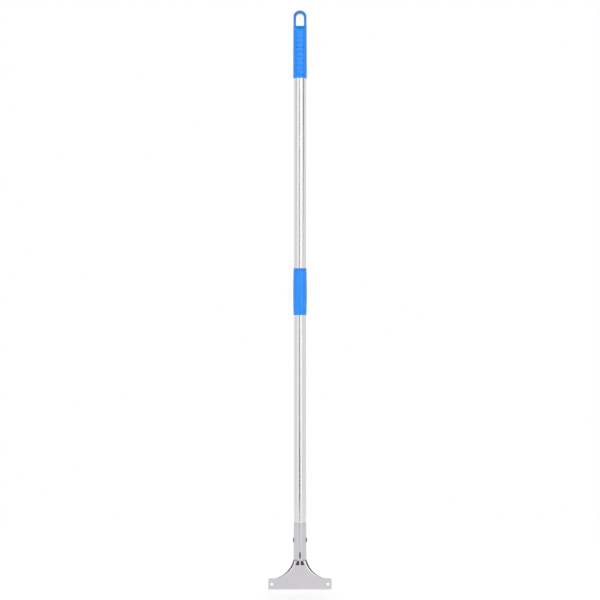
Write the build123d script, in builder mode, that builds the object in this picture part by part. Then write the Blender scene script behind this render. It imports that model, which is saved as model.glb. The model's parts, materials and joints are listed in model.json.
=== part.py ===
from build123d import *

import os
from math import atan2, cos, pi, sin, sqrt

# A long-handled steel scraper that hangs from the loop at its top.
# Millimetres. The origin is the middle of the working edge, +Z runs up the handle,
# and the front of the fan plate faces -Y.

# ---- driving dimensions -------------------------------------------------------------

OVERALL_LENGTH = 914.4

# fan plate
EDGE_WIDTH = 100.0
EAR_HEIGHT = 17.5
EAR_CORNER_RADIUS = 1.5
EAR_HOLE_SPACING = 88.7
EAR_HOLE_Z = 8.4
EAR_HOLE_RADIUS = 2.35
SHEET = 1.2
PLATE_FRONT_Y = -4.0
GRIND_HEIGHT = 3.0
GRIND_LAND = 0.5
SIDE_ARC_RADIUS = 37.0
SIDE_ARC_CENTRE_X = 46.9
SIDE_ARC_CENTRE_Z = 53.6
NECK_TOP_Z = 45.8
FLANGE_DEPTH = 8.2
FLANGE_FULL_Z = 42.0
FLANGE_REAR_TANGENTS = ((0.3, 1), (0.15, 1))
BEND_RADIUS = 0.9
TONGUE_WIDTH = 8.0
TONGUE_TOP_Z = 59.0
TONGUE_KEY_RADIUS = 2.0
TONGUE_KEY_Z = 53.5
WINDOW_TOP_Z = 45.0
WINDOW_BOTTOM_Z = 38.4
WINDOW_TOP_HALF_WIDTH = 4.6
WINDOW_BOTTOM_HALF_WIDTH = 7.0
WINDOW_CORNER_RADIUS = 0.7
WINDOW_BAR_WIDTH = 2.4

# tubes and head socket
TUBE_RADIUS = 9.5
TUBE_WALL = 0.8
LOWER_TUBE_BOTTOM_Z = 62.0
UPPER_TUBE_TOP_Z = 878.0
SOCKET_BOTTOM_Z = 47.2
SOCKET_TOP_Z = 105.4
SOCKET_BOTTOM_RADIUS = 10.25
SOCKET_TOP_RADIUS = 10.1
SOCKET_RIM_CHAMFER = 0.15
SLIT_TOP_WIDTH = 1.0
SLIT_WIDEST = 2.4
SLIT_BOTTOM_WIDTH = 1.7
SLIT_BOTTOM_Z = 49.4
SLIT_WIDEST_Z = 53.6
SLIT_TOP_Z = 60.2
SLIT_CORNER_RADIUS = 0.25

# plastic core plugged into the foot of the lower tube
NOSE_BOTTOM_Z = 36.6
NOSE_HALF_WIDTH = 7.6
NOSE_BACK_Y = 3.4
CORE_TOP_Z = 94.0
CORE_BORE_RADIUS = 6.2
CORE_BORE_BOTTOM_Z = 66.0

# blind rivets through socket, tube and core
RIVET_Z = 77.7
RIVET_SHANK_RADIUS = 2.0
RIVET_HEAD_RADIUS = 4.0
DOME_MIDDLE = 0.72
DOME_BULGE = 0.12
RIVET_TOP_X = 11.5
RIVET_BULB_RADIUS = 2.9
RIVET_BULB_START_X = 5.8
RIVET_BULB_FULL_X = 5.2
RIVET_BULB_END_X = 3.4
MANDREL_RADIUS = 1.0
MANDREL_HEAD_RADIUS = 1.7
MANDREL_HEAD_LENGTH = 1.2
MANDREL_BREAK_DEPTH = 0.4

# screw joint in the middle of the handle
JOINT_Z = 470.35
WASHER_THICKNESS = 1.5
WASHER_RADIUS = 9.4
WASHER_BORE_RADIUS = 6.85
THREAD_PITCH = 4.0
THREAD_ROOT_RADIUS = 5.4
THREAD_HEIGHT = 1.2
THREAD_CREST_WIDTH = 1.1
THREAD_ROOT_WIDTH = 2.0
THREAD_SINK = 0.3
THREAD_CLEARANCE = 0.15
THREAD_TURNS = 4.75
GROOVE_TURNS = 6.5
STEM_LENGTH = 24.0
STEM_LEAD_IN = 2.4
STEM_BORE_RADIUS = 2.6
SPIGOT_LENGTH = 34.0
INSERT_LENGTH = 41.0
INSERT_BORE_DEPTH = 25.6
PIN_RADIUS = 1.5
PIN_LENGTH = 18.8
UPPER_PIN_Z = 489.0
LOWER_PIN_Z = 436.8

# sleeve over the screw joint
SLEEVE_LENGTH = 73.9
SLEEVE_END_RADIUS = 10.25
SLEEVE_WAIST_RADIUS = 10.9
SLEEVE_RUNNING_CLEARANCE = 0.08
SLEEVE_RIM_CHAMFER = 0.3
SLEEVE_LINE_INSET = 2.3
SLEEVE_LINE_DEPTH = 0.4
SLEEVE_LINE_RADIUS = 0.55

# hand grip
GRIP_BOTTOM_Z = 807.5
GRIP_BOTTOM_RADIUS = 10.9
GRIP_SHOULDER_Z = 880.0
GRIP_SHOULDER_RADIUS = 10.65
GRIP_BORE_TOP_Z = 878.0
GRIP_RIM_RADIUS = 0.5
LOOP_NECK_Z = 895.0
LOOP_HALF_WIDTH = 10.25
LOOP_HALF_DEPTH = 6.0
LOOP_EDGE_RADIUS = 1.4
OPENING_HALF_WIDTH = 6.3
OPENING_BOTTOM_Z = 889.8
OPENING_TOP_Z = 909.7
OPENING_CORNER_RADIUS = 1.3
RIB_GROOVE_COUNT = 9
RIB_GROOVE_PITCH = 7.15
RIB_GROOVE_FIRST_Z = 813.8
RIB_GROOVE_WIDTH = 3.0
RIB_GROOVE_DEPTH = 0.6
RIB_GROOVE_ARC = 74.0

# ---- derived places -----------------------------------------------------------------

TUBE_BORE_RADIUS = TUBE_RADIUS - TUBE_WALL
PLATE_BACK_Y = PLATE_FRONT_Y + SHEET
WASHER_BOTTOM_Z = JOINT_Z - WASHER_THICKNESS / 2
WASHER_TOP_Z = JOINT_Z + WASHER_THICKNESS / 2
STEM_TIP_Z = WASHER_TOP_Z - STEM_LENGTH
THREAD_START_Z = STEM_TIP_Z + STEM_LEAD_IN
INSERT_BOTTOM_Z = WASHER_BOTTOM_Z - INSERT_LENGTH
INSERT_BORE_BOTTOM_Z = WASHER_BOTTOM_Z - INSERT_BORE_DEPTH
SLEEVE_BOTTOM_Z = JOINT_Z - SLEEVE_LENGTH / 2
SLEEVE_TOP_Z = JOINT_Z + SLEEVE_LENGTH / 2
RIVET_AXIS = Axis((0, 0, RIVET_Z), (1, 0, 0))
SAME = 0.01


def arc_angle(height, inset):
    """Angle, about the centre of the right-hand side arc, of its point at a height."""
    radius = SIDE_ARC_RADIUS + inset
    rise = height - SIDE_ARC_CENTRE_Z
    return atan2(rise, -sqrt(radius**2 - rise**2))


def arc_points(low, high, inset=0.0):
    """Low end, middle and high end of the right-hand side arc between two heights."""
    radius = SIDE_ARC_RADIUS + inset
    low_angle = arc_angle(low, inset) % (2 * pi)
    high_angle = arc_angle(high, inset) % (2 * pi)
    angles = (low_angle, (low_angle + high_angle) / 2, high_angle)
    return [
        (SIDE_ARC_CENTRE_X + radius * cos(a), SIDE_ARC_CENTRE_Z + radius * sin(a)) for a in angles
    ]


def mirrored(points):
    return [(-x, z) for x, z in points]


def save(part, name):
    part.label = name
    export_step(part, f"parts/{name}.step")


# ---- fan plate ----------------------------------------------------------------------


def window_profile():
    """The window in the neck to the right of the central bar."""
    bar = WINDOW_BAR_WIDTH / 2
    with BuildSketch() as profile:
        with BuildLine():
            Polyline(
                (bar, WINDOW_BOTTOM_Z),
                (WINDOW_BOTTOM_HALF_WIDTH, WINDOW_BOTTOM_Z),
                (WINDOW_TOP_HALF_WIDTH, WINDOW_TOP_Z),
                (bar, WINDOW_TOP_Z),
                close=True,
            )
        make_face()
        fillet(profile.vertices(), WINDOW_CORNER_RADIUS)
    return profile.sketch


def fan_profile():
    """The flat fan with its ears and tongue."""
    half = EDGE_WIDTH / 2
    tongue = TONGUE_WIDTH / 2
    right = arc_points(EAR_HEIGHT, NECK_TOP_Z)
    left = mirrored(right)
    with BuildSketch() as profile:
        with BuildLine():
            Polyline(right[0], (half, EAR_HEIGHT), (half, 0), (-half, 0), (-half, EAR_HEIGHT), left[0])
            ThreePointArc(*left)
            Polyline(
                left[2],
                (-tongue, NECK_TOP_Z),
                (-tongue, TONGUE_TOP_Z),
                (tongue, TONGUE_TOP_Z),
                (tongue, NECK_TOP_Z),
                right[2],
            )
            ThreePointArc(*right)
        make_face()
        fillet(profile.vertices().filter_by(lambda v: abs(v.X) > half - SAME), EAR_CORNER_RADIUS)
    return profile.sketch


def flange_profile():
    """The strip along the right-hand side arc that is turned back."""
    outer = arc_points(EAR_HEIGHT, NECK_TOP_Z)
    inner = arc_points(EAR_HEIGHT, NECK_TOP_Z, inset=SHEET)
    with BuildSketch() as profile:
        with BuildLine():
            ThreePointArc(*outer)
            Line(outer[2], inner[2])
            ThreePointArc(*inner)
            Line(inner[0], outer[0])
        make_face()
    return profile.sketch


def make_flanges():
    """Both side flanges, full depth at the neck and run out to nothing at the ears."""
    back_y = PLATE_FRONT_Y + FLANGE_DEPTH
    with BuildPart() as flanges:
        with BuildSketch(Plane.XZ.offset(-back_y)):
            add(flange_profile())
            mirror(about=Plane.YZ)
        extrude(amount=FLANGE_DEPTH)
        with BuildSketch(Plane.YZ):
            with BuildLine():
                Polyline(
                    (back_y, FLANGE_FULL_Z),
                    (back_y, NECK_TOP_Z + SHEET),
                    (PLATE_FRONT_Y, NECK_TOP_Z + SHEET),
                    (PLATE_FRONT_Y, EAR_HEIGHT - SHEET),
                    (PLATE_BACK_Y - SAME, EAR_HEIGHT - SHEET),
                    (PLATE_BACK_Y - SAME, EAR_HEIGHT),
                )
                Spline(
                    (PLATE_BACK_Y - SAME, EAR_HEIGHT),
                    (back_y, FLANGE_FULL_Z),
                    tangents=FLANGE_REAR_TANGENTS,
                )
            make_face()
        extrude(amount=EDGE_WIDTH, both=True, mode=Mode.INTERSECT)
    return flanges.part


def make_fan_plate():
    with BuildPart() as fan_plate:
        with BuildSketch(Plane.XZ.offset(-PLATE_BACK_Y)):
            add(fan_profile())
            with Locations((-EAR_HOLE_SPACING / 2, EAR_HOLE_Z), (EAR_HOLE_SPACING / 2, EAR_HOLE_Z)):
                Circle(EAR_HOLE_RADIUS, mode=Mode.SUBTRACT)
            with Locations((0, TONGUE_KEY_Z)):
                Circle(TONGUE_KEY_RADIUS, mode=Mode.SUBTRACT)
            add(window_profile(), mode=Mode.SUBTRACT)
            add(window_profile().mirror(Plane.YZ), mode=Mode.SUBTRACT)
        extrude(amount=SHEET)
        add(make_flanges())

        # the rounded bend along both side arcs
        arcs = fan_plate.edges().filter_by(GeomType.CIRCLE)
        arcs = arcs.filter_by(lambda e: abs(e.radius - SIDE_ARC_RADIUS) < SAME)
        fillet(arcs.filter_by(lambda e: e.center().Y < PLATE_FRONT_Y + SAME), BEND_RADIUS)

        # the working edge, ground from behind
        with BuildSketch(Plane.YZ):
            with BuildLine():
                Polyline(
                    (PLATE_BACK_Y, GRIND_HEIGHT),
                    (PLATE_FRONT_Y + GRIND_LAND, 0),
                    (PLATE_BACK_Y, 0),
                    close=True,
                )
            make_face()
        extrude(amount=EDGE_WIDTH, both=True, mode=Mode.SUBTRACT)
    return fan_plate.part


# ---- socket and core ----------------------------------------------------------------


def make_head_socket():
    with BuildPart() as head_socket:
        with BuildSketch(Plane.XZ):
            with BuildLine():
                Polyline(
                    (TUBE_RADIUS, SOCKET_BOTTOM_Z),
                    (SOCKET_BOTTOM_RADIUS, SOCKET_BOTTOM_Z),
                    (SOCKET_TOP_RADIUS, SOCKET_TOP_Z),
                    (TUBE_RADIUS, SOCKET_TOP_Z),
                    close=True,
                )
            make_face()
        revolve(axis=Axis.Z)
        chamfer(
            head_socket.edges().filter_by(GeomType.CIRCLE).filter_by(lambda e: e.radius > TUBE_RADIUS + SAME),
            SOCKET_RIM_CHAMFER,
        )
        with BuildSketch(Plane.XZ) as slit:
            with BuildLine():
                for side in (-1, 1):
                    ThreePointArc(
                        (side * SLIT_BOTTOM_WIDTH / 2, SLIT_BOTTOM_Z),
                        (side * SLIT_WIDEST / 2, SLIT_WIDEST_Z),
                        (side * SLIT_TOP_WIDTH / 2, SLIT_TOP_Z),
                    )
                Line((-SLIT_BOTTOM_WIDTH / 2, SLIT_BOTTOM_Z), (SLIT_BOTTOM_WIDTH / 2, SLIT_BOTTOM_Z))
                Line((-SLIT_TOP_WIDTH / 2, SLIT_TOP_Z), (SLIT_TOP_WIDTH / 2, SLIT_TOP_Z))
            make_face()
            fillet(slit.vertices(), SLIT_CORNER_RADIUS)
        extrude(amount=2 * TUBE_RADIUS, mode=Mode.SUBTRACT)
        with BuildSketch(Plane.YZ):
            with Locations((0, RIVET_Z)):
                Circle(RIVET_SHANK_RADIUS)
        extrude(amount=2 * TUBE_RADIUS, both=True, mode=Mode.SUBTRACT)
    return head_socket.part


def make_socket_core(fan_plate):
    nose_depth = NOSE_BACK_Y - PLATE_BACK_Y
    with BuildPart() as socket_core:
        # collar inside the socket, with the front of its foot cut back to the plate
        with BuildSketch(Plane.XY.offset(SOCKET_BOTTOM_Z)):
            Circle(TUBE_RADIUS)
        extrude(amount=LOWER_TUBE_BOTTOM_Z - SOCKET_BOTTOM_Z)
        with BuildSketch(Plane.XY.offset(NECK_TOP_Z)):
            Circle(TUBE_RADIUS)
            with Locations((0, PLATE_BACK_Y)):
                Rectangle(
                    2 * TUBE_RADIUS, 2 * TUBE_RADIUS, align=(Align.CENTER, Align.MAX), mode=Mode.SUBTRACT
                )
        extrude(amount=SOCKET_BOTTOM_Z - NECK_TOP_Z)

        # nose behind the windows
        with BuildSketch(Plane.XY.offset(NOSE_BOTTOM_Z)):
            with Locations((0, PLATE_BACK_Y)):
                Rectangle(2 * NOSE_HALF_WIDTH, nose_depth, align=(Align.CENTER, Align.MIN))
        extrude(amount=NECK_TOP_Z - NOSE_BOTTOM_Z)

        # hollow spigot inside the tube
        with BuildSketch(Plane.XY.offset(LOWER_TUBE_BOTTOM_Z)):
            Circle(TUBE_BORE_RADIUS)
        extrude(amount=CORE_TOP_Z - LOWER_TUBE_BOTTOM_Z)
        with BuildSketch(Plane.XY.offset(CORE_BORE_BOTTOM_Z)):
            Circle(CORE_BORE_RADIUS)
        extrude(amount=CORE_TOP_Z - CORE_BORE_BOTTOM_Z, mode=Mode.SUBTRACT)
        with BuildSketch(Plane.YZ):
            with Locations((0, RIVET_Z)):
                Circle(RIVET_SHANK_RADIUS)
        extrude(amount=2 * TUBE_RADIUS, both=True, mode=Mode.SUBTRACT)

        # the tongue of the plate is moulded into the collar
        add(fan_plate, mode=Mode.SUBTRACT)
    return socket_core.part


# ---- tubes --------------------------------------------------------------------------


def make_tube(bottom, top, holes):
    """A length of tube with a cross hole along X for each (height, radius) pair."""
    with BuildPart() as tube:
        with BuildSketch(Plane.XY.offset(bottom)):
            Circle(TUBE_RADIUS)
            Circle(TUBE_BORE_RADIUS, mode=Mode.SUBTRACT)
        extrude(amount=top - bottom)
        with BuildSketch(Plane.YZ):
            for height, radius in holes:
                with Locations((0, height)):
                    Circle(radius)
        extrude(amount=2 * TUBE_RADIUS, both=True, mode=Mode.SUBTRACT)
    return tube.part


# ---- blind rivets -------------------------------------------------------------------


def make_rivet_bodies(head_socket):
    """Two set blind rivets, one on each side of the socket, saddled to its surface."""
    dome_edge = (SOCKET_BOTTOM_RADIUS, RIVET_HEAD_RADIUS)
    dome_middle = ((SOCKET_BOTTOM_RADIUS + RIVET_TOP_X) / 2 + DOME_BULGE, DOME_MIDDLE * RIVET_HEAD_RADIUS)
    dome_top = (RIVET_TOP_X, MANDREL_RADIUS)
    with BuildPart() as rivet_bodies:
        with BuildSketch(Plane.XY.offset(RIVET_Z)):
            with BuildLine():
                ThreePointArc(dome_edge, dome_middle, dome_top)
                Polyline(
                    dome_top,
                    (RIVET_BULB_END_X, MANDREL_RADIUS),
                    (RIVET_BULB_END_X, RIVET_BULB_RADIUS),
                    (RIVET_BULB_FULL_X, RIVET_BULB_RADIUS),
                    (RIVET_BULB_START_X, RIVET_SHANK_RADIUS),
                    (TUBE_RADIUS, RIVET_SHANK_RADIUS),
                    (TUBE_RADIUS, RIVET_HEAD_RADIUS),
                    dome_edge,
                )
            make_face()
        revolve(axis=RIVET_AXIS)
        mirror(about=Plane.YZ)
        add(head_socket, mode=Mode.SUBTRACT)
    return rivet_bodies.part


def make_rivet_mandrels():
    """The steel stems left inside the two set rivets."""
    head_end_x = RIVET_BULB_END_X - MANDREL_HEAD_LENGTH
    break_x = RIVET_TOP_X - MANDREL_BREAK_DEPTH
    with BuildPart() as rivet_mandrels:
        with BuildSketch(Plane.XY.offset(RIVET_Z)):
            with BuildLine():
                Polyline(
                    (head_end_x, 0),
                    (head_end_x, MANDREL_HEAD_RADIUS),
                    (RIVET_BULB_END_X, MANDREL_HEAD_RADIUS),
                    (RIVET_BULB_END_X, MANDREL_RADIUS),
                    (break_x, MANDREL_RADIUS),
                    (break_x, 0),
                    close=True,
                )
            make_face()
        revolve(axis=RIVET_AXIS)
        mirror(about=Plane.YZ)
    return rivet_mandrels.part


# ---- screw joint --------------------------------------------------------------------


def thread_rib(root_radius, clearance, turns, start_z):
    """A right-hand trapezoidal rib on a helix, sunk a little below its root."""
    crest = THREAD_CREST_WIDTH / 2 + clearance
    root = THREAD_ROOT_WIDTH / 2 + clearance
    with BuildPart() as rib:
        with BuildLine() as path:
            Helix(pitch=THREAD_PITCH, height=turns * THREAD_PITCH, radius=root_radius, center=(0, 0, start_z))
        with BuildSketch(Plane(origin=path.line @ 0, x_dir=(1, 0, 0), z_dir=path.line % 0)):
            with BuildLine():
                Polyline(
                    (-THREAD_SINK, -root),
                    (0, -root),
                    (THREAD_HEIGHT, -crest),
                    (THREAD_HEIGHT, crest),
                    (0, root),
                    (-THREAD_SINK, root),
                    close=True,
                )
            make_face()
        sweep(path=path.line, is_frenet=True)
    return rib.part


def make_upper_coupler():
    """Threaded stem on a spigot that fills the foot of the upper tube."""
    with BuildPart() as upper_coupler:
        with BuildSketch(Plane.XY.offset(WASHER_TOP_Z)):
            Circle(TUBE_BORE_RADIUS)
        extrude(amount=SPIGOT_LENGTH)
        with BuildSketch(Plane.XY.offset(STEM_TIP_Z)):
            Circle(THREAD_ROOT_RADIUS)
        extrude(amount=STEM_LENGTH)
        add(thread_rib(THREAD_ROOT_RADIUS, 0, THREAD_TURNS, THREAD_START_Z))
        with BuildSketch(Plane.XY.offset(STEM_TIP_Z)):
            Circle(STEM_BORE_RADIUS)
        extrude(amount=STEM_LENGTH + SPIGOT_LENGTH, mode=Mode.SUBTRACT)
        with BuildSketch(Plane.YZ):
            with Locations((0, UPPER_PIN_Z)):
                Circle(PIN_RADIUS)
        extrude(amount=2 * TUBE_RADIUS, both=True, mode=Mode.SUBTRACT)
    return upper_coupler.part


def make_lower_coupler():
    """Insert with the matching internal thread, filling the head of the lower tube."""
    bore_radius = THREAD_ROOT_RADIUS + THREAD_CLEARANCE
    groove_start_z = THREAD_START_Z - THREAD_PITCH
    with BuildPart() as lower_coupler:
        with BuildSketch(Plane.XY.offset(INSERT_BOTTOM_Z)):
            Circle(TUBE_BORE_RADIUS)
        extrude(amount=INSERT_LENGTH)
        with BuildSketch(Plane.XY.offset(INSERT_BORE_BOTTOM_Z)):
            Circle(bore_radius)
        extrude(amount=INSERT_BORE_DEPTH, mode=Mode.SUBTRACT)
        add(thread_rib(bore_radius, THREAD_CLEARANCE, GROOVE_TURNS, groove_start_z), mode=Mode.SUBTRACT)
        with BuildSketch(Plane.YZ):
            with Locations((0, LOWER_PIN_Z)):
                Circle(PIN_RADIUS)
        extrude(amount=2 * TUBE_RADIUS, both=True, mode=Mode.SUBTRACT)
    return lower_coupler.part


def make_coupler_washer():
    with BuildPart() as coupler_washer:
        with BuildSketch(Plane.XY.offset(WASHER_BOTTOM_Z)):
            Circle(WASHER_RADIUS)
            Circle(WASHER_BORE_RADIUS, mode=Mode.SUBTRACT)
        extrude(amount=WASHER_THICKNESS)
    return coupler_washer.part


def make_cross_pin(height):
    """A headless pin along X, just short of the tube's outer surface at both ends."""
    with BuildPart() as cross_pin:
        with BuildSketch(Plane.YZ):
            with Locations((0, height)):
                Circle(PIN_RADIUS)
        extrude(amount=PIN_LENGTH / 2, both=True)
    return cross_pin.part


def make_joint_sleeve():
    """Barrel fixed on the lower tube that guides the foot of the upper tube."""
    guide_radius = TUBE_RADIUS + SLEEVE_RUNNING_CLEARANCE
    with BuildPart() as joint_sleeve:
        with BuildSketch(Plane.XZ):
            with BuildLine():
                ThreePointArc(
                    (SLEEVE_END_RADIUS, SLEEVE_BOTTOM_Z),
                    (SLEEVE_WAIST_RADIUS, JOINT_Z),
                    (SLEEVE_END_RADIUS, SLEEVE_TOP_Z),
                )
                Polyline(
                    (SLEEVE_END_RADIUS, SLEEVE_TOP_Z),
                    (guide_radius, SLEEVE_TOP_Z),
                    (guide_radius, WASHER_BOTTOM_Z),
                    (TUBE_RADIUS, WASHER_BOTTOM_Z),
                    (TUBE_RADIUS, SLEEVE_BOTTOM_Z),
                    (SLEEVE_END_RADIUS, SLEEVE_BOTTOM_Z),
                )
            make_face()
        revolve(axis=Axis.Z)
        rims = joint_sleeve.edges().filter_by(GeomType.CIRCLE)
        chamfer(rims.filter_by(lambda e: abs(e.radius - SLEEVE_END_RADIUS) < SAME), SLEEVE_RIM_CHAMFER)

        # a thin ring line a little way in from each end
        for height in (SLEEVE_BOTTOM_Z + SLEEVE_LINE_INSET, SLEEVE_TOP_Z - SLEEVE_LINE_INSET):
            from_waist = (height - JOINT_Z) / (SLEEVE_TOP_Z - JOINT_Z)
            barrel = SLEEVE_WAIST_RADIUS - (SLEEVE_WAIST_RADIUS - SLEEVE_END_RADIUS) * from_waist**2
            with BuildSketch(Plane.XZ):
                with Locations((barrel - SLEEVE_LINE_DEPTH + SLEEVE_LINE_RADIUS, height)):
                    Circle(SLEEVE_LINE_RADIUS)
            revolve(axis=Axis.Z, mode=Mode.SUBTRACT)
    return joint_sleeve.part


# ---- hand grip ----------------------------------------------------------------------


def grip_radius(height):
    """Radius of the grip's tapered barrel."""
    share = (height - GRIP_BOTTOM_Z) / (GRIP_SHOULDER_Z - GRIP_BOTTOM_Z)
    return GRIP_BOTTOM_RADIUS + share * (GRIP_SHOULDER_RADIUS - GRIP_BOTTOM_RADIUS)


def make_loop_slab():
    """The loop as a thick plate with an arched top whose edges are rounded."""
    arch_z = OVERALL_LENGTH - LOOP_HALF_WIDTH
    with BuildPart() as slab:
        with BuildSketch(Plane.XZ):
            with BuildLine():
                Polyline(
                    (-LOOP_HALF_WIDTH, arch_z),
                    (-LOOP_HALF_WIDTH, LOOP_NECK_Z),
                    (LOOP_HALF_WIDTH, LOOP_NECK_Z),
                    (LOOP_HALF_WIDTH, arch_z),
                )
                ThreePointArc((LOOP_HALF_WIDTH, arch_z), (0, OVERALL_LENGTH), (-LOOP_HALF_WIDTH, arch_z))
            make_face()
        extrude(amount=LOOP_HALF_DEPTH, both=True)
        arches = slab.edges().filter_by(GeomType.CIRCLE)
        fillet(arches.filter_by(lambda e: abs(e.radius - LOOP_HALF_WIDTH) < SAME), LOOP_EDGE_RADIUS)
    return slab.part


def make_grip_loop():
    """The upper part of the grip: the slab trimmed to the round of the barrel."""
    with BuildPart() as loop:
        with BuildSketch(Plane.XY.offset(LOOP_NECK_Z)):
            Circle(GRIP_SHOULDER_RADIUS)
        extrude(amount=OVERALL_LENGTH - LOOP_NECK_Z)
        add(make_loop_slab(), mode=Mode.INTERSECT)
    return loop.part


def make_grip_barrel():
    """The tapered barrel, flattened front, back and sides as it nears the loop."""
    with BuildPart() as barrel:
        with BuildSketch(Plane.XZ):
            with BuildLine():
                Polyline(
                    (0, GRIP_BOTTOM_Z),
                    (GRIP_BOTTOM_RADIUS, GRIP_BOTTOM_Z),
                    (GRIP_SHOULDER_RADIUS, GRIP_SHOULDER_Z),
                    (GRIP_SHOULDER_RADIUS, LOOP_NECK_Z),
                    (0, LOOP_NECK_Z),
                    close=True,
                )
            make_face()
        revolve(axis=Axis.Z)
        for view, half_thickness in ((Plane.XZ, LOOP_HALF_WIDTH), (Plane.YZ, LOOP_HALF_DEPTH)):
            with BuildSketch(view):
                with BuildLine():
                    Polyline(
                        (GRIP_BOTTOM_RADIUS, GRIP_SHOULDER_Z),
                        (GRIP_BOTTOM_RADIUS, GRIP_BOTTOM_Z),
                        (-GRIP_BOTTOM_RADIUS, GRIP_BOTTOM_Z),
                        (-GRIP_BOTTOM_RADIUS, GRIP_SHOULDER_Z),
                    )
                    Spline(
                        (-GRIP_BOTTOM_RADIUS, GRIP_SHOULDER_Z),
                        (-half_thickness, LOOP_NECK_Z),
                        tangents=[(0, 1), (0, 1)],
                    )
                    Line((-half_thickness, LOOP_NECK_Z), (half_thickness, LOOP_NECK_Z))
                    Spline(
                        (half_thickness, LOOP_NECK_Z),
                        (GRIP_BOTTOM_RADIUS, GRIP_SHOULDER_Z),
                        tangents=[(0, -1), (0, -1)],
                    )
                make_face()
            extrude(amount=2 * TUBE_RADIUS, both=True, mode=Mode.INTERSECT)
    return barrel.part


def make_hand_grip():
    groove_radius = ((RIB_GROOVE_WIDTH / 2) ** 2 + RIB_GROOVE_DEPTH**2) / (2 * RIB_GROOVE_DEPTH)
    with BuildPart() as hand_grip:
        add(make_grip_barrel())
        add(make_grip_loop())

        # the opening that hangs on a hook
        with BuildSketch(Plane.XZ) as opening:
            with BuildLine():
                Polyline(
                    (-OPENING_HALF_WIDTH, OPENING_TOP_Z - OPENING_HALF_WIDTH),
                    (-OPENING_HALF_WIDTH, OPENING_BOTTOM_Z),
                    (OPENING_HALF_WIDTH, OPENING_BOTTOM_Z),
                    (OPENING_HALF_WIDTH, OPENING_TOP_Z - OPENING_HALF_WIDTH),
                )
                ThreePointArc(
                    (OPENING_HALF_WIDTH, OPENING_TOP_Z - OPENING_HALF_WIDTH),
                    (0, OPENING_TOP_Z),
                    (-OPENING_HALF_WIDTH, OPENING_TOP_Z - OPENING_HALF_WIDTH),
                )
            make_face()
            fillet(opening.vertices().group_by(Axis.Y)[0], OPENING_CORNER_RADIUS)
        extrude(amount=2 * TUBE_RADIUS, both=True, mode=Mode.SUBTRACT)

        # the bore that takes the upper tube
        with BuildSketch(Plane.XY.offset(GRIP_BOTTOM_Z)):
            Circle(TUBE_RADIUS)
        extrude(amount=GRIP_BORE_TOP_Z - GRIP_BOTTOM_Z, mode=Mode.SUBTRACT)
        rims = hand_grip.edges().filter_by(GeomType.CIRCLE)
        fillet(rims.filter_by(lambda e: abs(e.radius - GRIP_BOTTOM_RADIUS) < SAME), GRIP_RIM_RADIUS)

        # finger grooves, front and back
        for index in range(RIB_GROOVE_COUNT):
            height = RIB_GROOVE_FIRST_Z + index * RIB_GROOVE_PITCH
            centre = grip_radius(height) - RIB_GROOVE_DEPTH + groove_radius
            for facing in (-90, 90):
                start = Plane.XZ.rotated((0, 0, facing - RIB_GROOVE_ARC / 2))
                with BuildSketch(start):
                    with Locations((centre, height)):
                        Circle(groove_radius)
                revolve(axis=Axis.Z, revolution_arc=RIB_GROOVE_ARC, mode=Mode.SUBTRACT)
    return hand_grip.part


# ---- the whole scraper --------------------------------------------------------------

os.makedirs("parts", exist_ok=True)

fan_plate_part = make_fan_plate()
head_socket_part = make_head_socket()

save(fan_plate_part, "fan_plate")
save(head_socket_part, "head_socket")
save(make_socket_core(fan_plate_part), "socket_core")
save(make_rivet_bodies(head_socket_part), "rivet_bodies")
save(make_rivet_mandrels(), "rivet_mandrels")
lower_holes = [(RIVET_Z, RIVET_SHANK_RADIUS), (LOWER_PIN_Z, PIN_RADIUS)]
save(make_tube(LOWER_TUBE_BOTTOM_Z, WASHER_BOTTOM_Z, lower_holes), "lower_tube")
save(make_lower_coupler(), "lower_coupler")
save(make_cross_pin(LOWER_PIN_Z), "lower_pin")
save(make_joint_sleeve(), "joint_sleeve")
save(make_coupler_washer(), "coupler_washer")
save(make_upper_coupler(), "upper_coupler")
save(make_cross_pin(UPPER_PIN_Z), "upper_pin")
save(make_tube(WASHER_TOP_Z, UPPER_TUBE_TOP_Z, [(UPPER_PIN_Z, PIN_RADIUS)]), "upper_tube")
save(make_hand_grip(), "hand_grip")
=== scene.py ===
"""Looks for the long-handled scraper: materials, light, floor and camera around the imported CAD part."""

import json
import math

import bmesh
import bpy
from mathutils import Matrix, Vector
from mathutils.geometry import tessellate_polygon


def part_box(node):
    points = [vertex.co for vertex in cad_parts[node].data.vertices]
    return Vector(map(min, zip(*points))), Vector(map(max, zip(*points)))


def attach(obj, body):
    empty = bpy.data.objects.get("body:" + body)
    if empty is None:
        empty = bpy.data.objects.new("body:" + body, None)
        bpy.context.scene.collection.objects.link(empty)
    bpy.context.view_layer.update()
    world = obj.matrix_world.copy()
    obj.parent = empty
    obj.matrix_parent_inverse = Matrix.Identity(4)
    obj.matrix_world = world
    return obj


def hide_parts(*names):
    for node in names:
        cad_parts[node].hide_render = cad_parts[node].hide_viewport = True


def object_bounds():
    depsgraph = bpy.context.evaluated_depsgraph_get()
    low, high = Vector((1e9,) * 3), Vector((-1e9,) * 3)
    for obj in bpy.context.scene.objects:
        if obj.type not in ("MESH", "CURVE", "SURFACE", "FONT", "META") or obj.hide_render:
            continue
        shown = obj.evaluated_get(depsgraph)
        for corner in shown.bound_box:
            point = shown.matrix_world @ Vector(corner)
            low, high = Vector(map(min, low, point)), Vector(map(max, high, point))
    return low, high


MM = 0.001
WELD = 1e-6
WHITE = (1.0, 1.0, 1.0, 1.0)
BLACK = (0.0, 0.0, 0.0, 1.0)
# share of the steel's colour left in the painted shade along the fan plate's bends
PAINTED_SHADE_SHARE = 0.22
DEEP_SHARE = 0.35
SCRATCH_WIDTH = 0.012
STEEL_EDGE = 0.15 * MM
PLASTIC_EDGE = 0.35 * MM
FRAMING = 1.0376

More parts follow.
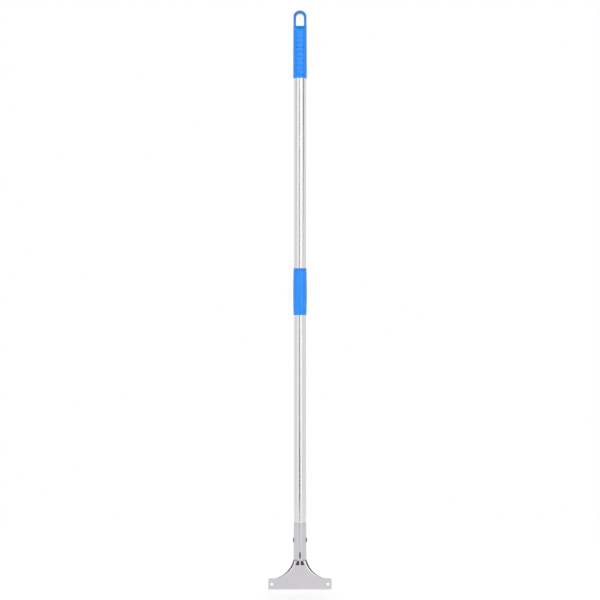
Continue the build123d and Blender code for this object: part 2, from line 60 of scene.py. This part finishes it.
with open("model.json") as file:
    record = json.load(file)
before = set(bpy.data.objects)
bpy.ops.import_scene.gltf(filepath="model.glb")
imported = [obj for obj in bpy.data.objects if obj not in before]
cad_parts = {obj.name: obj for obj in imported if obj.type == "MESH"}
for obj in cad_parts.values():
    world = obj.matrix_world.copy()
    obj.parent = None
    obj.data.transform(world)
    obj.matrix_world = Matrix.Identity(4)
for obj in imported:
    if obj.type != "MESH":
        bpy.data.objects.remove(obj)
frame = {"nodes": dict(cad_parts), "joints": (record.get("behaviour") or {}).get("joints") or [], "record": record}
cad_low, cad_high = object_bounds()
height = cad_high.z - cad_low.z


# ---------------------------------------------------------------- shader helpers

def new_material(name):
    """A material with an empty Principled shader: (material, node tree, shader)."""
    material = bpy.data.materials.new(name)
    material.use_nodes = True
    tree = material.node_tree
    tree.nodes.clear()
    output = tree.nodes.new("ShaderNodeOutputMaterial")
    shader = tree.nodes.new("ShaderNodeBsdfPrincipled")
    tree.links.new(shader.outputs["BSDF"], output.inputs["Surface"])
    return material, tree, shader


def feed(tree, socket, value):
    """Links value to the socket if it is another socket, and sets it if it is a plain value."""
    if isinstance(value, bpy.types.NodeSocket):
        tree.links.new(value, socket)
    else:
        socket.default_value = value


def math_node(tree, operation, first, second=0.0):
    node = tree.nodes.new("ShaderNodeMath")
    node.operation = operation
    feed(tree, node.inputs[0], first)
    feed(tree, node.inputs[1], second)
    return node.outputs[0]


def object_place(tree, scale=(1, 1, 1)):
    """The point on the piece in its own metres, stretched by scale."""
    place = tree.nodes.new("ShaderNodeTexCoord")
    mapping = tree.nodes.new("ShaderNodeMapping")
    mapping.inputs["Scale"].default_value = scale
    tree.links.new(place.outputs["Object"], mapping.inputs["Vector"])
    return mapping.outputs["Vector"]


def noise(tree, scale, detail=3.0, stretch=(1, 1, 1), roughness=0.5):
    """Noise of about scale grains in a metre, from 0 to 1."""
    node = tree.nodes.new("ShaderNodeTexNoise")
    tree.links.new(object_place(tree, stretch), node.inputs["Vector"])
    node.inputs["Scale"].default_value = scale
    node.inputs["Detail"].default_value = detail
    node.inputs["Roughness"].default_value = roughness
    return node.outputs["Fac"]


def spread(tree, value, low, high, start=0.3, end=0.7):
    """value between start and end turned into low to high."""
    node = tree.nodes.new("ShaderNodeMapRange")
    feed(tree, node.inputs["Value"], value)
    node.inputs["From Min"].default_value = start
    node.inputs["From Max"].default_value = end
    node.inputs["To Min"].default_value = low
    node.inputs["To Max"].default_value = high
    return node.outputs["Result"]


def blend_colour(tree, factor, first, second):
    node = tree.nodes.new("ShaderNodeMix")
    node.data_type = "RGBA"
    feed(tree, node.inputs["Factor"], factor)
    feed(tree, node.inputs["A"], first)
    feed(tree, node.inputs["B"], second)
    return [output for output in node.outputs if output.type == "RGBA"][0]


def bump(tree, shader, height_value, distance, strength=1.0, under=None):
    """Adds relief of that depth in metres to the shader, over an earlier bump if given."""
    node = tree.nodes.new("ShaderNodeBump")
    node.inputs["Strength"].default_value = strength
    node.inputs["Distance"].default_value = distance
    feed(tree, node.inputs["Height"], height_value)
    if under is not None:
        tree.links.new(under, node.inputs["Normal"])
    tree.links.new(node.outputs["Normal"], shader.inputs["Normal"])
    return node.outputs["Normal"]


# ---------------------------------------------------------------- materials

def soft_edges(tree, radius):
    """The surface's direction with its sharp edges broken over that radius."""
    node = tree.nodes.new("ShaderNodeBevel")
    node.samples = 6
    node.inputs["Radius"].default_value = radius
    return node.outputs["Normal"]


def scratches(tree, stretch, scale, width):
    """Fine crossing lines: 1 on a scratch and 0 between them."""
    wander = noise(tree, scale, detail=2.0, stretch=stretch)
    off_line = math_node(tree, "ABSOLUTE", math_node(tree, "SUBTRACT", wander, 0.5))
    return spread(tree, off_line, 1.0, 0.0, start=0.0, end=width)


def steel(name, colour, rough, grain_stretch, grain_depth, smudge, scratch_stretches=(), worn_height=0.0):
    """Bare steel: drawn or brushed grain along one direction, faint smudges and a few scratches.

    Scratches gather below worn_height, where the tool meets the wall. A piece may carry a value on its points that
    paints light into the steel: above zero it darkens the steel as painted shade, and below zero it brightens it
    as a painted highlight."""
    material, tree, shader = new_material(name)
    shader.inputs["Metallic"].default_value = 1.0
    grain = noise(tree, 1.0, detail=4.0, stretch=grain_stretch, roughness=0.6)
    cloud = noise(tree, 45.0, detail=4.0)
    dark = tuple(channel * 0.93 for channel in colour) + (1.0,)
    light = tuple(colour) + (1.0,)
    tint = blend_colour(tree, spread(tree, grain, 0.0, 1.0), light, dark)
    # painted light on bends: a point's value above zero blends in painted shade, below zero blends towards white
    # as a painted highlight
    painted_bend_light = tree.nodes.new("ShaderNodeAttribute")
    painted_bend_light.attribute_name = "painted_bend_light"
    painted_shade_colour = tuple(channel * PAINTED_SHADE_SHARE for channel in colour) + (1.0,)
    tint = blend_colour(tree, math_node(tree, "MAXIMUM", painted_bend_light.outputs["Fac"], 0.0), tint, painted_shade_colour)
    painted_highlight = math_node(tree, "MULTIPLY", painted_bend_light.outputs["Fac"], -1.0)
    tint = blend_colour(tree, math_node(tree, "MAXIMUM", painted_highlight, 0.0), tint, WHITE)
    smudged = spread(tree, cloud, rough, rough + smudge)
    surface_value = math_node(tree, "ADD", spread(tree, grain, -0.03, 0.04), smudged)
    relief = grain
    for index, stretch in enumerate(scratch_stretches):
        lines = scratches(tree, stretch, 1.0, SCRATCH_WIDTH)
        patch = spread(tree, noise(tree, 70.0 + 30.0 * index, detail=2.0), 0.0, 1.0, start=0.5, end=0.62)
        if worn_height:
            split = tree.nodes.new("ShaderNodeSeparateXYZ")
            tree.links.new(object_place(tree), split.inputs[0])
            top = cad_low.z + worn_height
            low_down = spread(tree, split.outputs["Z"], 1.0, 0.25, start=cad_low.z, end=top)
            patch = math_node(tree, "MULTIPLY", math_node(tree, "MAXIMUM", patch, low_down), low_down)
        lines = math_node(tree, "MULTIPLY", lines, patch)
        tint = blend_colour(tree, math_node(tree, "MULTIPLY", lines, 0.35), tint, dark)
        surface_value = math_node(tree, "ADD", surface_value, math_node(tree, "MULTIPLY", lines, 0.18))
        relief = math_node(tree, "SUBTRACT", relief, math_node(tree, "MULTIPLY", lines, 0.5))
    feed(tree, shader.inputs["Base Color"], tint)
    feed(tree, shader.inputs["Roughness"], surface_value)
    bump(tree, shader, relief, grain_depth, under=soft_edges(tree, STEEL_EDGE))
    return material


def plastic(name, colour, rough, grain_depth, variation=0.06, deep_above=None):
    """Moulded plastic: fine spark-eroded texture, faint flow clouds, handling marks and a parting line.

    The colour is deeper above the height deep_above, if one is given."""
    material, tree, shader = new_material(name)
    shader.inputs["IOR"].default_value = 1.49
    cloud = noise(tree, 60.0, detail=4.0)
    texture = noise(tree, 2600.0, detail=2.0)
    dark = tuple(channel * (1 - variation) for channel in colour) + (1.0,)
    light = tuple(min(1.0, channel * (1 + variation)) for channel in colour) + (1.0,)
    tint = blend_colour(tree, spread(tree, cloud, 0.0, 1.0), dark, light)
    scuffs = scratches(tree, (300, 300, 60), 1.0, SCRATCH_WIDTH)
    patch = spread(tree, noise(tree, 90.0, detail=2.0), 0.0, 0.5, start=0.52, end=0.62)
    scuffs = math_node(tree, "MULTIPLY", scuffs, patch)
    tint = blend_colour(tree, math_node(tree, "MULTIPLY", scuffs, 0.3), tint, light)
    deep = tuple(channel * DEEP_SHARE for channel in colour) + (1.0,)
    split = tree.nodes.new("ShaderNodeSeparateXYZ")
    tree.links.new(object_place(tree), split.inputs[0])
    if deep_above is not None:
        high_up = spread(tree, split.outputs["Z"], 0.0, 0.5, start=deep_above, end=deep_above + 5 * MM)
        tint = blend_colour(tree, high_up, tint, deep)
    feed(tree, shader.inputs["Base Color"], tint)
    marks = noise(tree, 160.0, detail=5.0, roughness=0.65)
    handled = spread(tree, marks, rough - 0.05, rough + 0.08)
    gloss = math_node(tree, "ADD", handled, math_node(tree, "MULTIPLY", scuffs, 0.4))
    feed(tree, shader.inputs["Roughness"], gloss)
    under = bump(tree, shader, texture, grain_depth, under=soft_edges(tree, PLASTIC_EDGE))
    off_parting = math_node(tree, "ABSOLUTE", split.outputs["Y"])
    parting = spread(tree, off_parting, 1.0, 0.0, start=0.06 * MM, end=0.16 * MM)
    bump(tree, shader, parting, 0.05 * MM, under=under)
    return material


LENGTHWISE = (2600, 2600, 14)
ACROSS = (40, 40, 3200)
EVEN = (1500, 1500, 1500)
LOOP_HEIGHT = 25 * MM
MATERIALS = {
    "polished_steel": steel(
        "polished_steel", (0.74, 0.735, 0.73), 0.10, LENGTHWISE, 0.000004, 0.07,
        ((200, 200, 30), (60, 60, 260))
    ),
    "pressed_steel": steel(
        "pressed_steel", (0.61, 0.592, 0.618), 0.15, ACROSS, 0.000010, 0.09,
        ((420, 420, 14), (14, 14, 420)), worn_height=30 * MM
    ),
    # the rivet steel's dark grey is painted shade: darker than the other steel, standing in for dark reflections
    # on the rivet heads
    "rivet_steel": steel("rivet_steel", (0.26, 0.26, 0.265), 0.26, EVEN, 0.00001, 0.08),
    "pin_steel": steel("pin_steel", (0.55, 0.55, 0.56), 0.30, EVEN, 0.00001, 0.08),
    "blue_plastic": plastic(
        "blue_plastic", (0.006, 0.262, 0.92), 0.20, 0.000012, deep_above=cad_high.z - LOOP_HEIGHT
    ),
    "black_plastic": plastic("black_plastic", (0.012, 0.012, 0.013), 0.42, 0.00002),
    "washer_rubber": plastic("washer_rubber", (0.03, 0.03, 0.03), 0.7, 0.00003),
}

for node in frame["nodes"].values():
    slot = node.data.materials[0].name
    node.data.materials[0] = MATERIALS[slot.split(".")[0]]


# ---------------------------------------------------------------- mesh helpers

def link_mesh(name, mesh, smooth_angle=30):
    """Turns a bmesh into a smooth-shaded object whose edges sharper than the angle stay crisp."""
    bmesh.ops.remove_doubles(mesh, verts=mesh.verts, dist=WELD)
    bmesh.ops.recalc_face_normals(mesh, faces=mesh.faces)
    data = bpy.data.meshes.new(name)
    mesh.to_mesh(data)
    mesh.free()
    data.polygons.foreach_set("use_smooth", [True] * len(data.polygons))
    data.set_sharp_from_angle(angle=math.radians(smooth_angle))
    made = bpy.data.objects.new(name, data)
    bpy.context.scene.collection.objects.link(made)
    return made


def crisp(made, width):
    """Breaks the sharp edges by a hair, as deburring does, and keeps the big faces flat."""
    edges = made.modifiers.new("edges", "BEVEL")
    edges.width = width
    edges.segments = 2
    edges.limit_method = "ANGLE"
    edges.angle_limit = math.radians(35)
    flat = made.modifiers.new("flat", "WEIGHTED_NORMAL")
    flat.keep_sharp = True


def dress(made, node_name, material):
    """Puts a finished piece in place of a CAD node."""
    made.data.materials.append(material)
    bodies = frame["record"]["behaviour"]["bodies"]
    body = next(name for name, members in bodies.items() if node_name in members)
    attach(made, body)
    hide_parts(node_name)


# ---------------------------------------------------------------- fan plate

class Fan:
    """The fan plate's shape, in metres, as the CAD part has it, but with softer bends of its own."""
    low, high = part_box("fan_plate")
    sheet = 1.2 * MM
    front = low.y
    back = low.y + sheet
    flange_back = high.y
    half_width = high.x
    ear_top = 17.5 * MM
    ear_corner = 1.5 * MM
    hole_x = 44.35 * MM
    hole_z = 8.4 * MM
    hole_radius = 2.35 * MM
    arc_radius = 37.0 * MM
    arc_x = 46.9 * MM
    arc_z = 53.6 * MM
    neck_top = 45.8 * MM
    flange_full = 42.0 * MM
    tongue_half = 4.0 * MM
    tongue_top = high.z
    key_z = 53.5 * MM
    key_radius = 2.0 * MM
    window_top = 45.0 * MM
    window_bottom = 38.4 * MM
    window_top_half = 4.6 * MM
    window_bottom_half = 7.0 * MM
    window_bar_half = 1.2 * MM
    ground_height = 3.0 * MM
    ground_land = 0.5 * MM
    # this script's own: softer bends than the CAD part's, and how finely curves are cut
    bend_at_ear = 0.15 * MM
    bend_at_neck = 4.5 * MM
    stations = 48
    bend_steps = 10
    corner_steps = 6


def fan_arc_point(radius, share):
    """A point on the arc of that radius, from the ear (share 0) to the neck (share 1)."""
    ear = math.asin((Fan.ear_top - Fan.arc_z) / radius)
    neck = math.asin((Fan.neck_top - Fan.arc_z) / radius)
    angle = ear + share * (neck - ear)
    return Fan.arc_x - radius * math.cos(angle), Fan.arc_z + radius * math.sin(angle)


def fan_flange_profile(share):
    """The flange's section, from the flat front round to the flat back: [(arc radius, y), ...]."""
    height_here = fan_arc_point(Fan.arc_radius, share)[1]
    grown = min(1.0, (height_here - Fan.ear_top) / (Fan.flange_full - Fan.ear_top))
    bend = Fan.bend_at_ear + math.sqrt(grown) * (Fan.bend_at_neck - Fan.bend_at_ear)
    rear = Fan.back + grown * (Fan.flange_back - Fan.back)
    bend = min(bend, 0.9 * (rear - Fan.front))
    inside = max(0.0, min(bend - Fan.sheet, rear - Fan.back))
    outer_radius = Fan.arc_radius
    inner_radius = Fan.arc_radius + Fan.sheet
    turns = [math.pi / 2 * step / Fan.bend_steps for step in range(Fan.bend_steps + 1)]
    outer = [
        (outer_radius + bend * (1 - math.sin(turn)), Fan.front + bend * (1 - math.cos(turn)))
        for turn in turns
    ]
    inner = [
        (inner_radius + inside * (1 - math.sin(turn)), Fan.back + inside * (1 - math.cos(turn)))
        for turn in reversed(turns)
    ]
    return outer + [(outer_radius, rear), (inner_radius, rear)] + inner


def circle_points(centre_x, centre_z, radius, steps):
    return [
        (centre_x + radius * math.cos(turn), centre_z + radius * math.sin(turn))
        for turn in (2 * math.pi * step / steps for step in range(steps))
    ]


def rounded(points, radius, steps=5):
    """The same outline with each corner rounded."""
    outline = []
    for index, corner in enumerate(points):
        here = Vector(corner)
        before = (Vector(points[index - 1]) - here).normalized()
        after = (Vector(points[(index + 1) % len(points)]) - here).normalized()
        half = before.angle(after) / 2
        reach = radius / math.tan(half)
        centre = here + (before + after).normalized() * radius / math.sin(half)
        first = here + before * reach - centre
        last = here + after * reach - centre
        for step in range(steps + 1):
            outline.append(tuple(centre + first.lerp(last, step / steps).normalized() * radius))
    return outline


def fan_outline(edge):
    """The flat part's outline. edge is 0 at the front face and -1 at the back one, where the bends begin."""
    right = []
    for station in range(Fan.stations, -1, -1):
        share = station / Fan.stations
        right.append(fan_arc_point(fan_flange_profile(share)[edge][0], share))
    ear = [
        (Fan.half_width, Fan.ear_top),
        (Fan.half_width, Fan.low.z),
    ]
    corners = []
    for (x, z), signs in zip(ear, ((-1, -1), (-1, 1))):
        centre = Vector((x + signs[0] * Fan.ear_corner, z + signs[1] * Fan.ear_corner))
        start = math.pi / 2 if signs[1] < 0 else 0.0
        for step in range(Fan.corner_steps + 1):
            turn = start - math.pi / 2 * step / Fan.corner_steps
            x = centre.x + Fan.ear_corner * math.cos(turn)
            z = centre.y + Fan.ear_corner * math.sin(turn)
            corners.append((x, z))
    tongue = [(Fan.tongue_half, Fan.tongue_top), (Fan.tongue_half, Fan.neck_top)]
    right_half = tongue + right + corners
    left_half = [(-x, z) for x, z in reversed(right_half)]
    return right_half + left_half


# painted light along each bend, from the flat front round to the flange's rear edge: above zero painted shade (a
# dark reflection) over the bend's outside and the flange, below zero a painted highlight where the bend begins
FLANGE_PAINTED_LIGHT = (0.0, -0.2, -0.35, -0.2, 0.5, 0.9, 1.0, 1.0, 1.0, 1.0, 1.0, 0.25)


def make_fan_plate():
    mesh = bmesh.new()
    painted_bend_light = mesh.verts.layers.float.new("painted_bend_light")

    def point(x, y, z):
        return mesh.verts.new((x, y, z))

    windows = [
        rounded(
            [
                (side * Fan.window_bar_half, Fan.window_bottom),
                (side * Fan.window_bottom_half, Fan.window_bottom),
                (side * Fan.window_top_half, Fan.window_top),
                (side * Fan.window_bar_half, Fan.window_top),
            ],
            0.7 * MM,
        )
        for side in (-1, 1)
    ]
    holes = windows + [
        circle_points(-Fan.hole_x, Fan.hole_z, Fan.hole_radius, 40),
        circle_points(Fan.hole_x, Fan.hole_z, Fan.hole_radius, 40),
        circle_points(0, Fan.key_z, Fan.key_radius, 32),
    ]

    # the two flat faces and the walls between them
    loops_by_face = []
    for y, edge in ((Fan.front, 0), (Fan.back, -1)):
        loops = [fan_outline(edge)] + holes
        verts = [[point(x, y, z) for x, z in loop] for loop in loops]
        flat = [vert for loop in verts for vert in loop]
        faces = tessellate_polygon([[Vector((x, z, 0)) for x, z in loop] for loop in loops])
        for corners in faces:
            mesh.faces.new([flat[corner] for corner in corners])
        loops_by_face.append(verts)
    front_loops, back_loops = loops_by_face
    # the flanges take the place of the wall along the arcs, which follow the tongue's two points
    flanged = range(2, 2 + Fan.stations)
    mirrored = len(front_loops[0]) - 2
    bends = set(flanged) | {mirrored - index for index in flanged}
    for number, (front_loop, back_loop) in enumerate(zip(front_loops, back_loops)):
        for index in range(len(front_loop)):
            after = (index + 1) % len(front_loop)
            if number == 0 and index in bends:
                continue
            mesh.faces.new([front_loop[index], front_loop[after], back_loop[after], back_loop[index]])

    # the flanges, bent back along the two side arcs
    for side in (-1, 1):
        sections = []
        for station in range(Fan.stations + 1):
            share = station / Fan.stations
            section = []
            for radius, y in fan_flange_profile(share):
                x, z = fan_arc_point(radius, share)
                section.append(point(side * x, y, z))
            sections.append(section)
        # paint each bend's painted shade and painted highlight onto its points
        for section in sections:
            for index, surface_value in enumerate(FLANGE_PAINTED_LIGHT):
                section[index][painted_bend_light] = surface_value
        for here, there in zip(sections, sections[1:]):
            for index in range(len(here) - 1):
                mesh.faces.new([here[index], here[index + 1], there[index + 1], there[index]])
        mesh.faces.new(sections[-1])

    # the ground edge, cut on the back
    cut_z = Fan.low.z + Fan.ground_height
    bmesh.ops.bisect_plane(
        mesh,
        geom=mesh.verts[:] + mesh.edges[:] + mesh.faces[:],
        dist=WELD,
        plane_co=(0, 0, cut_z),
        plane_no=(0, 0, 1),
    )
    for vert in mesh.verts:
        if vert.co.y > Fan.back - WELD and vert.co.z < cut_z:
            share = (cut_z - vert.co.z) / Fan.ground_height
            vert.co.y = Fan.back - share * (Fan.sheet - Fan.ground_land)
    plate = link_mesh("fan_plate_sheet", mesh)
    crisp(plate, 0.12 * MM)
    dress(plate, "fan_plate", MATERIALS["pressed_steel"])


# ---------------------------------------------------------------- floor, light and camera

def make_floor(radius, steps=96):
    """A plain pale floor, just below the lowest place that the unscrewed head reaches.

    It gives off some light of its own, so that it looks as white as the backdrop."""
    travel = next(joint for joint in frame["joints"] if joint["type"] == "slide")["range_m"][1]
    level = cad_low.z - travel - 2 * MM
    mesh = bmesh.new()
    corners = [
        mesh.verts.new((radius * math.cos(turn), radius * math.sin(turn), level))
        for turn in (2 * math.pi * step / steps for step in range(steps))
    ]
    mesh.faces.new(corners)
    data = bpy.data.meshes.new("floor")
    mesh.to_mesh(data)
    mesh.free()
    floor = bpy.data.objects.new("floor", data)
    bpy.context.scene.collection.objects.link(floor)
    material, tree, shader = new_material("floor_paint")
    pale = noise(tree, 3.0, detail=2.0)
    paint = blend_colour(tree, pale, (0.80, 0.80, 0.80, 1.0), (0.82, 0.82, 0.82, 1.0))
    feed(tree, shader.inputs["Base Color"], paint)
    shader.inputs["Roughness"].default_value = 0.9
    shader.inputs["Specular IOR Level"].default_value = 0.0
    shader.inputs["Emission Color"].default_value = WHITE
    shader.inputs["Emission Strength"].default_value = 0.77
    data.materials.append(material)


def ramp_of(tree, around, panels):
    """Brightness by direction round the studio, from (azimuth in degrees, level) pairs."""
    node = tree.nodes.new("ShaderNodeValToRGB")
    share = math_node(tree, "ADD", math_node(tree, "DIVIDE", around, 360.0), 0.5)
    tree.links.new(share, node.inputs["Fac"])
    ramp = node.color_ramp
    while len(ramp.elements) > 1:
        ramp.elements.remove(ramp.elements[-1])
    for index, (azimuth, level) in enumerate(panels):
        position = azimuth / 360 + 0.5
        stop = ramp.elements[0] if index == 0 else ramp.elements.new(position)
        stop.position = position
        stop.color = (level, level, level, 1.0)
    return node.outputs["Color"]


def gap(tree, around, centre, half_width, darkness):
    """How much light is left (1 is all of it) beside a dark gap between two panels."""
    away = math_node(tree, "ABSOLUTE", math_node(tree, "SUBTRACT", around, centre))
    inside = spread(tree, away, 1.0, 0.0, start=half_width - 1.5, end=half_width + 1.5)
    return math_node(tree, "SUBTRACT", 1.0, math_node(tree, "MULTIPLY", inside, darkness))


LOW_PANELS = (
    (-180, 1.0), (-130, 1.0), (-100, 0.95), (-84, 0.93), (-64, 1.0), (-50, 1.12), (-24, 1.2),
    (-4, 1.0), (4, 1.3), (28, 1.45), (36, 1.0), (90, 0.94), (120, 1.0), (180, 1.0),
)
HIGH_PANELS = (
    (-180, 1.0), (-130, 1.0), (-100, 0.98), (-64, 1.0), (-48, 1.3), (-28, 1.3), (-20, 0.95),
    (2, 0.92), (10, 1.45), (48, 1.45), (56, 1.0), (90, 0.95), (120, 1.05), (180, 1.0),
)


def make_world():
    """A white studio: bright panels with narrow dark gaps, which a tube mirrors as thin lines."""
    world = bpy.data.worlds.new("studio")
    bpy.context.scene.world = world
    world.use_nodes = True
    tree = world.node_tree
    tree.nodes.clear()
    output = tree.nodes.new("ShaderNodeOutputWorld")
    place = tree.nodes.new("ShaderNodeTexCoord")
    split = tree.nodes.new("ShaderNodeSeparateXYZ")
    tree.links.new(place.outputs["Generated"], split.inputs[0])
    rise = split.outputs["Z"]
    ahead = math_node(tree, "MULTIPLY", split.outputs["Y"], -1.0)
    around = math_node(tree, "ARCTAN2", split.outputs["X"], ahead)
    around = math_node(tree, "MULTIPLY", around, 180 / math.pi)
    high = spread(tree, rise, 0.0, 1.0, start=0.049, end=0.061)
    light = blend_colour(tree, high, ramp_of(tree, around, LOW_PANELS), ramp_of(tree, around, HIGH_PANELS))
    gaps = (
        gap(tree, around, -12.5, 6.0, spread(tree, rise, 1.0, 0.7, start=-0.02, end=0.02)),
        gap(tree, around, 1.0, 9.0, spread(tree, rise, 0.9, 0.0, start=-0.11, end=-0.03)),
        gap(tree, around, 66.0, 9.0, math_node(tree, "MULTIPLY", high, 0.95)),
        gap(tree, around, -76.0, 9.0, math_node(tree, "MULTIPLY", high, 0.3)),
        gap(tree, around, 150.0, 6.0, 0.5),
        gap(tree, around, -158.0, 4.0, 0.7),
    )
    for left in gaps:
        light = blend_colour(tree, left, BLACK, light)
    above = spread(tree, rise, 0.0, 1.0, start=0.15, end=0.22)
    light = blend_colour(tree, above, light, (0.08, 0.08, 0.08, 1.0))
    box_side = spread(tree, ahead, 0.0, 1.0, start=0.62, end=0.78)
    box_top = spread(tree, rise, 1.0, 0.0, start=0.58, end=0.70)
    softbox = math_node(tree, "MULTIPLY", math_node(tree, "MULTIPLY", above, box_side), box_top)
    light = blend_colour(tree, softbox, light, (2.8, 2.8, 2.8, 1.0))
    # the camera itself sees a plain white backdrop in place of the panels
    seen = tree.nodes.new("ShaderNodeLightPath")
    light = blend_colour(tree, seen.outputs["Is Camera Ray"], light, WHITE)
    background = tree.nodes.new("ShaderNodeBackground")
    tree.links.new(light, background.inputs["Color"])
    tree.links.new(background.outputs["Background"], output.inputs["Surface"])


def make_camera(distance, eye_height, aim_height, picture_height):
    """A straight-on view from far off, level with the middle of the part."""
    data = bpy.data.cameras.new("camera")
    camera = bpy.data.objects.new("camera", data)
    bpy.context.scene.collection.objects.link(camera)
    camera.location = (0, -distance, eye_height)
    look = Vector((0, distance, aim_height - eye_height))
    camera.rotation_euler = look.to_track_quat("-Z", "Y").to_euler()
    data.sensor_width = 36
    data.lens = data.sensor_width * look.length / picture_height
    data.clip_end = 100
    bpy.context.scene.camera = camera


make_fan_plate()
make_floor(radius=1.3)
make_world()
make_camera(
    distance=3.2, eye_height=height / 2, aim_height=height / 2, picture_height=height * FRAMING
)
bpy.context.scene.view_settings.view_transform = "Standard"
